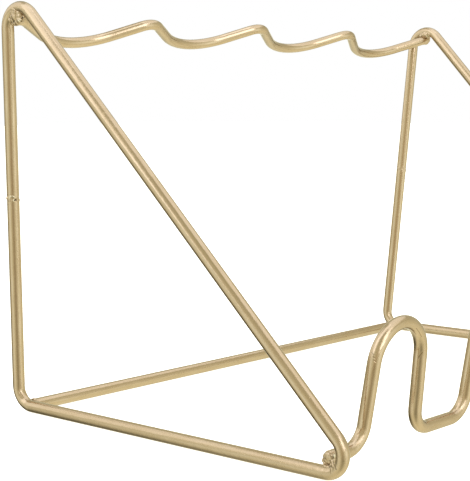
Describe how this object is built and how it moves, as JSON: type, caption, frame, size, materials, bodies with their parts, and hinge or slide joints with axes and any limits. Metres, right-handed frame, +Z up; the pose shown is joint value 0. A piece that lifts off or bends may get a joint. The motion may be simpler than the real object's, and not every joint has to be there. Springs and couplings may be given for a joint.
{
  "type": "photo album stand",
  "caption": "Free-standing wire display stand: sloping triangular side frames joined by a wavy top rail, a straight rear rail and a front rail of arches that stop an album sliding off.",
  "frame": {"origin": "middle of the footprint, on the table", "axes": "+X towards the right-hand side frame as seen by the viewer of the album, +Y to the rear, +Z up"},
  "size_m": [0.2912, 0.1764, 0.169],
  "materials": {
    "gold_coated_wire": "satin champagne gold, fine metallic grain"
  },
  "bodies": {
    "root": {"left_side_frame": "gold_coated_wire", "right_side_frame": "gold_coated_wire", "top_wave_rail": "gold_coated_wire", "front_arch_rail": "gold_coated_wire", "rear_base_rail": "gold_coated_wire", "left_butt_weld": "gold_coated_wire", "right_butt_weld": "gold_coated_wire", "left_top_weld": "gold_coated_wire", "right_top_weld": "gold_coated_wire", "left_front_weld": "gold_coated_wire", "right_front_weld": "gold_coated_wire", "left_rear_weld": "gold_coated_wire", "right_rear_weld": "gold_coated_wire"}
  },
  "joints": []
}
